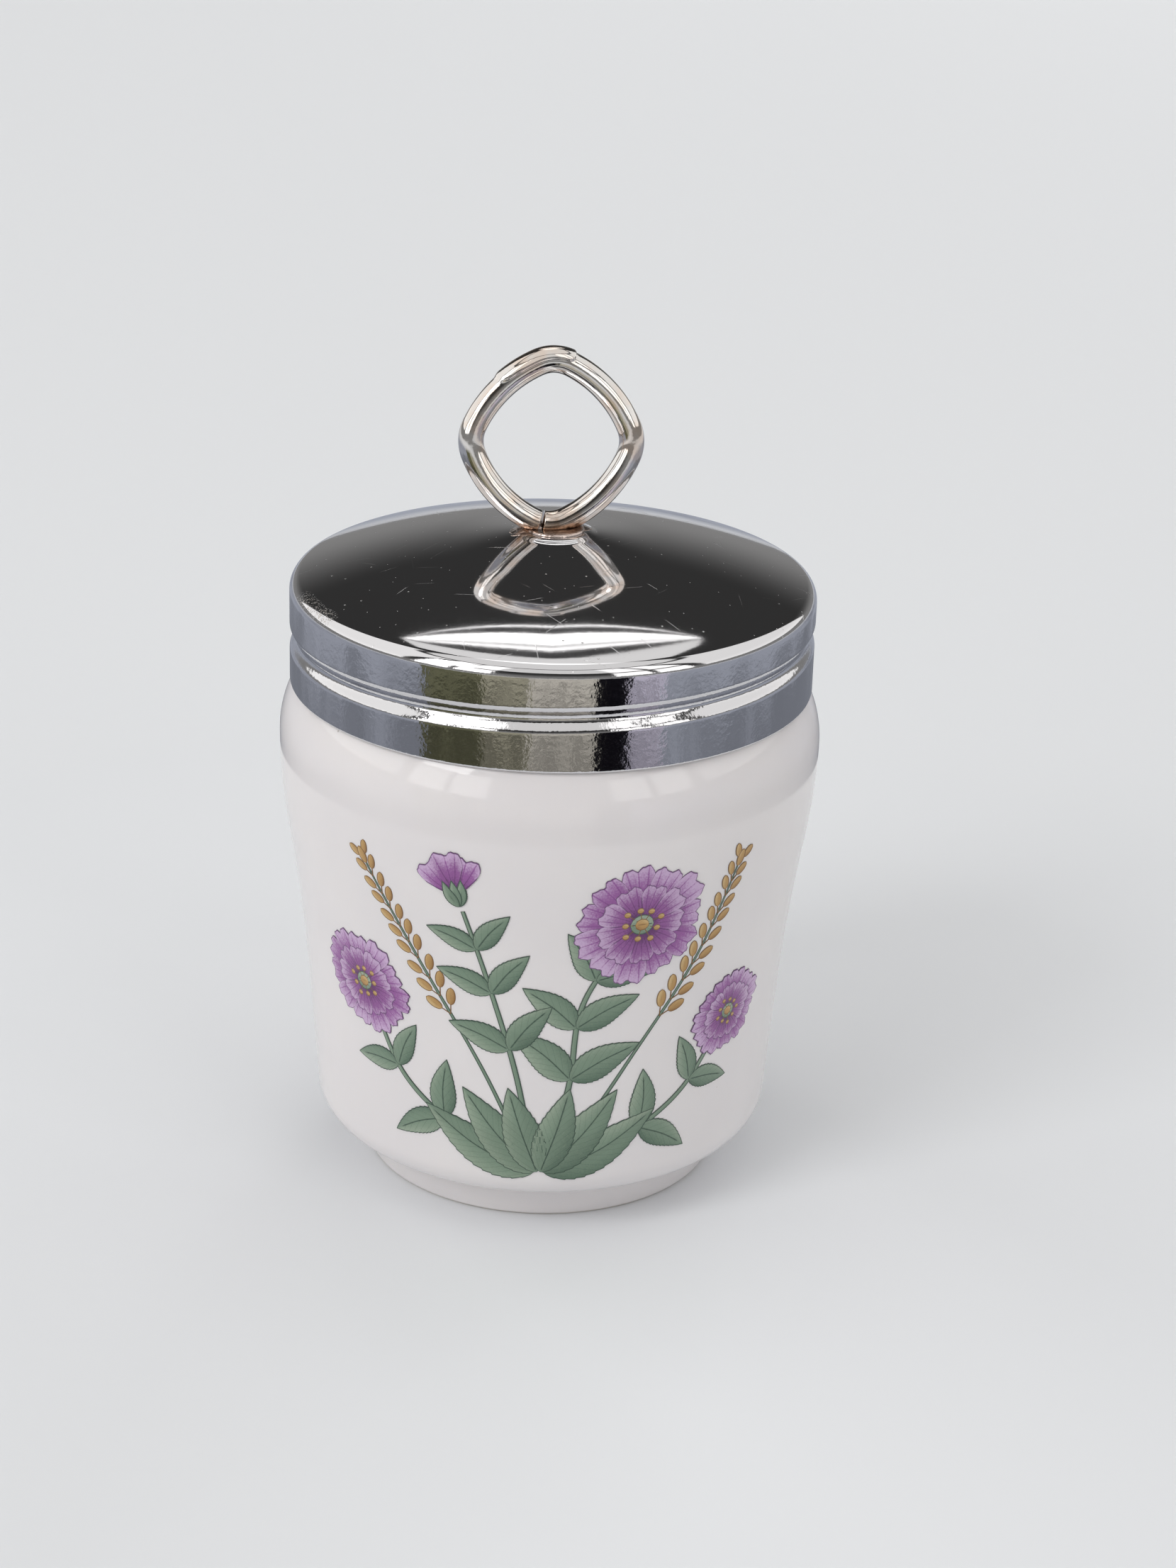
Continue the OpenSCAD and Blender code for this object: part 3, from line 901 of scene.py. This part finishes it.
class Bouquet:
    """A spray of stems, leaves, open flowers, buds and seed heads, printed in three inks."""

    def __init__(self, middle):
        self.middle = np.array([middle, 0.0])
        self.layer = 0

    def lift(self):
        """Each plate lies a little over the last."""
        self.layer += 1
        return PLATE_LIFT + LAYER_LIFT * self.layer

    def stem(self, points, low=0.42, high=0.3):
        """A stem through points, narrowing from low to high; gives its places and directions."""
        places = [self.middle + p for p in points]
        green.ribbon(places, stem_width(low, high), self.lift(), rows=40, columns=5)
        return spline(places, 101)

    def leaf(self, base, angle, length, half, curl, tint=0.0):
        """A leaf from base at an angle; curl bends it away to its left."""
        ahead, aside = direction(angle), direction(angle + 90)
        middle = base + ahead * length * 0.5 + aside * curl * length * 0.12
        tip = base + ahead * length + aside * curl * length * 0.42
        green.ribbon([base, middle, tip], leaf_width(half), self.lift(), tint, rows=78, columns=9)

    def leaves(self, stem, shares, angle, length, half):
        """Pairs of leaves at shares of a stem's length, smaller towards its tip."""
        place, ahead = stem
        for share in shares:
            k = int(share * 100)
            size = 1.15 - 0.5 * share
            for side in (1, -1):
                turn = course(ahead[k]) + side * angle
                self.leaf(place[k], turn, length * size, half * size, side * 0.5, side * 0.06)

    def flower(self, centre, radius, turn, tilt):
        """Two rings of notched petals, every second one on top, round a pale eye with a ring of
        ochre stamens."""
        centre = self.middle + centre
        for count, length, spread, shift in PETALS:
            for k in (*range(0, count, 2), *range(1, count, 2)):
                tint = 0.12 * math.sin(5.1 * k + shift) - 0.05
                facing, reach = turn + shift + 360 * k / count, 1 + 0.05 * math.sin(3 * k)
                mauve.petal(
                    centre, facing, radius * length * reach, spread, self.lift(), tint, 0.07, tilt)
        green.disc(centre, radius * 0.17, self.lift(), 0.3)
        lift = self.lift()
        for k in range(9):
            out = direction(40 * k + turn)
            spot = centre + out * radius * (0.24 + 0.05 * (k % 2))
            ochre.disc(spot, radius * 0.05, lift, 0.1)
            ochre.thin([centre + out * radius * 0.1, spot], 0.05, 0.05, lift - LAYER_LIFT / 2)
        ochre.disc(centre, radius * 0.1, self.lift())

    def bud(self, centre, angle, size):
        """A half-open flower seen from the side: three petals in a green cup."""
        centre = self.middle + centre
        for side, length, tint in ((-27, 1.0, -0.05), (27, 1.0, 0.05), (0, 1.08, 0.0)):
            mauve.petal(centre, angle + side, size * length, 25, self.lift(), tint, 0.08)
        base = centre - direction(angle) * size * 0.18
        for side in (-42, 0, 42):
            self.leaf(base, angle + side * 0.8, size * 0.62, size * 0.12, -side / 60, 0.05)

    def seeds(self, stem, start, count, size):
        """Ochre seeds in pairs along a stem from a share of its length, and one at its tip."""
        place, ahead = stem
        for share in np.linspace(start, 0.985, count):
            k = int(share * 100)
            grow = size * (1.15 - 0.45 * share)
            for side in (-1, 1):
                turn = course(ahead[k]) + side * (38 - 12 * share)
                spot = place[k] + direction(turn) * grow * 1.9
                ochre.thin([place[k], spot], 0.07, 0.06, self.lift())
                ochre.disc(spot, grow * 0.5, self.lift(), 0.1 * side, 1.9, turn)
        ochre.disc(place[-1], size * 0.4, self.lift(), 0.0, 2.0, course(ahead[k]))


def front_bouquet():
    """The large spray on the front: three flowers, a bud, two seed heads and leaves at the foot."""
    spray = Bouquet(0.0)
    seed_left = spray.stem([(-1.0, 9.8), (-7, 23), (-15.0, 37), (-21.5, 48.6)], 0.3, 0.14)
    seed_right = spray.stem([(1.8, 9.8), (10.5, 24), (18.5, 37), (23.0, 49.0)], 0.3, 0.14)
    spray.seeds(seed_left, 0.5, 10, 1.35)
    spray.seeds(seed_right, 0.48, 10, 1.35)
    low_right = spray.stem([(2.5, 9.6), (10.5, 13.6), (18.5, 18.8), (24.0, 26.0)])
    low_left = spray.stem([(-2.2, 9.6), (-10.0, 14.2), (-18.0, 20.4), (-22.6, 29.4)])
    tall = spray.stem([(0.8, 9.6), (3.4, 21.5), (4.6, 32.5), (9.6, 42)])
    middle = spray.stem([(-0.6, 9.6), (-2.8, 22), (-6.0, 34), (-9.0, 44.4)], 0.4, 0.25)
    spray.leaves(low_right, (0.42, 0.72), 48, 8.4, 1.9)
    spray.leaves(low_left, (0.42, 0.7), 48, 8.4, 1.9)
    spray.leaves(tall, (0.36, 0.58, 0.78), 44, 9.5, 2.2)
    spray.leaves(middle, (0.45, 0.66, 0.84), 42, 8.4, 1.9)
    for angle, length, half, curl in (
        (166, 15.5, 2.7, -0.6), (14, 15.5, 2.7, 0.6), (140, 14.0, 2.7, -0.4), (41, 14.0, 2.7, 0.4),
        (113, 12.0, 2.5, -0.2), (69, 12.0, 2.5, 0.2),
    ):
        spray.leaf((0.6 * cosd(angle), 9.6), angle, length, half, curl)
    spray.flower((10.8, 43.0), 8.0, 100, (60, 0.93))
    spray.flower((-23.4, 31.0), 7.0, 126, (150, 0.88))
    spray.flower((25.0, 27.6), 6.0, 80, (30, 0.86))
    spray.bud((-9.6, 46.0), 104, 5.6)


def back_bouquet():
    """The small sprig on the back: one flower, a seed head and two pairs of leaves."""
    spray = Bouquet(math.pi * PRINT_R)
    seed = spray.stem([(1.5, 14), (4.5, 24), (8.5, 34)], 0.28, 0.14)
    spray.seeds(seed, 0.5, 6, 1.2)
    main = spray.stem([(0, 14), (-2.0, 23), (-5.5, 31)])
    spray.leaves(main, (0.3, 0.65), 45, 8.0, 1.9)
    spray.flower((-6.2, 33.0), 6.0, 95, (120, 0.88))


# ---- camera and studio

# Camera: how far in front and up in metres, turns in degrees, lens and sensor in millimetres
CAMERA_D, CAMERA_H = 0.37188, 0.20118
PITCH, YAW, ROLL = 22.380, 0.746, 1.774
LENS, SENSOR_H = 50.21, 24.0

STUDIO_FLOOR, STUDIO_FLOOR_R = paint(226, 228, 231), 6.0

# Lamps: name, place in metres, width, height, watts and whether they show in reflections
LAMP_AIM = (0, 0, 0.05)
LAMPS = (
    ("key_soft_box", (-1.3, -1.2, 1.5), 0.8, 0.8, 10.5, True),
    ("back_soft_box", (0.9, 1.7, 1.0), 1.2, 0.9, 7.0, False),
)

# The world glows by ROOM_GLOW everywhere and HORIZON_GLOW more at the horizon; the camera sees
# BACKDROP in its place
ROOM_GLOW, HORIZON_GLOW, BACKDROP = 0.04, 0.22, 0.62

# Soft boxes in the world: turn from the front (two), height (two) and strength. The two in front
# have four panes each
PANES = ((8, 30), (34, 60))
SOFT_BOXES = (
    *((turn, turn + 16, low, high, 1.75) for turn in (-60, -41) for low, high in PANES),
    *((turn, turn + 16, low, high, 1.45) for turn in (27, 46) for low, high in PANES),
    (-138, -66, 10, 60, 1.05),
    (68, 138, 10, 60, 0.95),
    (-26, 27, 34, 60, 0.8),
    (-190, 190, 63, 100, 0.85),
)

# Bars of light that hang behind the object: far edge, near edge and strength. On a plane one unit
# up, the far edge of the first is BARS_Y back, bowed and slanted along X, and all the edges draw
# together to both sides, where they meet BARS_HALF out
BARS_Y, BARS_BOW, BARS_SLANT, BARS_HALF = 0.865, 0.22, 0.1, 0.36
BARS = (
    (0.0, 0.012, 2.4),
    (0.065, 0.14, 2.2),
    (0.14, 0.158, 0.55),
    (0.158, 0.178, 2.0),
    (0.235, 0.6, 0.9),
)

# Cards round the object: turn from the front (two), colour, and the size in millimetres and depth
# of their mottling. In metres, they stand CARD_R away, reach CARD_TOP and fade out over CARD_FADE
CARD_R, CARD_TOP, CARD_FADE, CARD_STEPS = 0.14, 0.08, 0.022, 25
CARDS = (
    (-180, -50, paint(146, 150, 160), 70, 0.3),
    (-50, -26, paint(92, 92, 72), 7, 0.45),
    (-26, -8, paint(140, 137, 120), 7, 0.5),
    (-8, 17, paint(172, 168, 158), 7, 0.45),
    (17, 30, paint(14, 13, 18), 7, 0.3),
    (30, 44, paint(176, 172, 186), 12, 0.4),
    (44, 180, paint(146, 150, 160), 70, 0.3),
)


def axes(right, up, back, place):
    """The matrix that puts an object at a place with its X, Y and Z axes along these directions."""
    rows = [[*row, shift] for row, shift in zip(zip(right, up, back), place)]
    return Matrix([*rows, [0, 0, 0, 1]])


def set_camera():
    """The camera stands in front and above, looks down by PITCH, turns by YAW and leans by ROLL."""
    look = np.array([sind(YAW) * cosd(PITCH), cosd(YAW) * cosd(PITCH), -sind(PITCH)])
    right = unit(np.cross(look, (0, 0, 1)))
    up = np.cross(right, look)
    lean_right = cosd(ROLL) * right + sind(ROLL) * up
    lean_up = -sind(ROLL) * right + cosd(ROLL) * up
    data = bpy.data.cameras.new("camera")
    data.sensor_fit = "VERTICAL"
    data.sensor_height = SENSOR_H
    data.lens = LENS
    camera = new_object("camera", data)
    camera.matrix_world = axes(lean_right, lean_up, -look, (0.0, -CAMERA_D, CAMERA_H))
    scene.camera = camera


def set_lamp(name, place, width, height, watts, mirrored):
    """A soft box at a place, turned towards LAMP_AIM."""
    data = bpy.data.lights.new(name, "AREA")
    data.shape = "RECTANGLE"
    data.size, data.size_y, data.energy = width, height, watts
    lamp = new_object(name, data)
    back = unit(np.subtract(place, LAMP_AIM))
    right = unit(np.cross((0, 0, 1), back))
    lamp.matrix_world = axes(right, np.cross(back, right), back, place)
    lamp.visible_glossy = mirrored


def stage_card(start, end, colour, size, spread):
    """A curved card, mottled by spread, that only shows in the object's reflections."""
    material, tree = new_material("card")
    place = tree.place()
    colour = np.array(colour)
    dark, light = (colour * (share, share, share, 1) for share in (1 - spread, 1 + spread))
    height = tree.parts(place)[2]
    mottle = tree.noise(place, size, 4.0, 0.7) + height.eased(0.018, 0.04) * 0.2 - 0.1
    tone = tree.mix(mottle.eased(0.35, 0.65), dark, light)
    glow = tree.add("Emission", (), {"Color": tone, "Strength": 1.0})
    clear = tree.add("BsdfTransparent")
    faded = height.eased(CARD_TOP - CARD_FADE, CARD_TOP)
    surface = tree.add("MixShader", (), [faded, glow, clear])
    tree.add("OutputMaterial", (), {"Surface": surface})
    a = np.radians(FRONT + np.linspace(start, end, CARD_STEPS))
    foot = CARD_R * np.column_stack([np.cos(a), np.sin(a), 0 * a])
    faces = grid_faces(np.arange(2 * CARD_STEPS).reshape(2, CARD_STEPS)).tolist()
    card = new_mesh("card", np.vstack([foot, foot + (0, 0, CARD_TOP)]), faces, material)
    card.visible_camera = card.visible_diffuse = card.visible_shadow = False


def set_studio():
    """A round pale floor, cards that give the chrome its bands, two lamps and the world."""
    material, tree = new_material("floor")
    tree.finish(Base_Color=STUDIO_FLOOR, Roughness=0.75)
    a = np.linspace(0, 2 * math.pi, 64, endpoint=False)
    rim = STUDIO_FLOOR_R * np.column_stack([np.cos(a), np.sin(a), 0 * a])
    floor = new_mesh("floor", rim, [list(range(len(rim)))], material)

    for card in CARDS:
        stage_card(*card)
    for lamp in LAMPS:
        set_lamp(*lamp)
    set_world()
    scene.view_settings.view_transform = "Standard"


def set_world():
    """A dim room, paler near the horizon. Each soft box is a patch between two turns from the front
    and two heights, in degrees, and the bars are slices of one lens overhead."""
    world = bpy.data.worlds.new("studio")
    scene.world = world
    tree = Tree(world)
    x, y, z = tree.parts(tree.add("TexCoord", output="Generated"))
    turn = x.math("ARCTAN2", y * -1.0) * math.degrees(1)
    height = z.math("ARCSINE") * math.degrees(1)
    glow = height.eased(26, 3) * HORIZON_GLOW + ROOM_GLOW
    for left, right, low, high, strength in SOFT_BOXES:
        half = (right - left) / 2
        inside = abs(turn - (left + right) / 2).eased(half + 1, half - 1)
        inside = inside * height.eased(low - 1, low + 1) * height.eased(high + 1, high - 1)
        glow = glow + inside * strength
    side = x / z
    lens = 1 - (side / BARS_HALF) * (side / BARS_HALF)
    drop = BARS_Y + abs(side) * BARS_BOW + side * BARS_SLANT - y / z
    drop = drop / lens.math("MAXIMUM", 0.05)
    for far, near, strength in BARS:
        inside = drop.eased(far - 0.005, far + 0.005) * drop.eased(near + 0.005, near - 0.005)
        glow = glow + inside * lens.eased(0, 0.15) * z.eased(0.02, 0.1) * strength
    seen = tree.add("LightPath", output="Is Camera Ray")
    glow = glow * (1 - seen) + seen * BACKDROP
    sky = tree.add("Background", (), {"Color": paint(255, 254, 252), "Strength": glow})
    tree.add("OutputWorld", (), {"Surface": sky})


# ---- assembly

set_camera()
set_studio()

glaze, chrome, plated, filler = porcelain(), sheet_chrome(), wire_chrome(), braze_metal()
pot_rings = revolve(pot_outline(), POT_AROUND, neck_thread)
lid_rings = revolve(lid_outline(), LID_AROUND, rolled_groove)
make("glazed_pot", *shell(pot_rings), "pot", "porcelain", glaze, ["pot"])
make("screw_lid", *shell(lid_rings), "lid", "chrome_sheet", chrome, ["lid_shell"])
make("wire_loop", *shell(wire_rings()), "lid", "plated_wire", plated, ["lifting_loop"])
make("braze_fillet", *shell(braze_rings()), "lid", "braze", filler)
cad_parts["loop_braze"].material_slots[0].material = filler

green, mauve, ochre = Print(), Print(), Print()
front_bouquet()
back_bouquet()
green.piece("printed_leaves", print_ink("sage_ink"))
mauve.piece("printed_petals", print_ink("mauve_ink"))
ochre.piece("printed_seeds", print_ink("ochre_ink"))
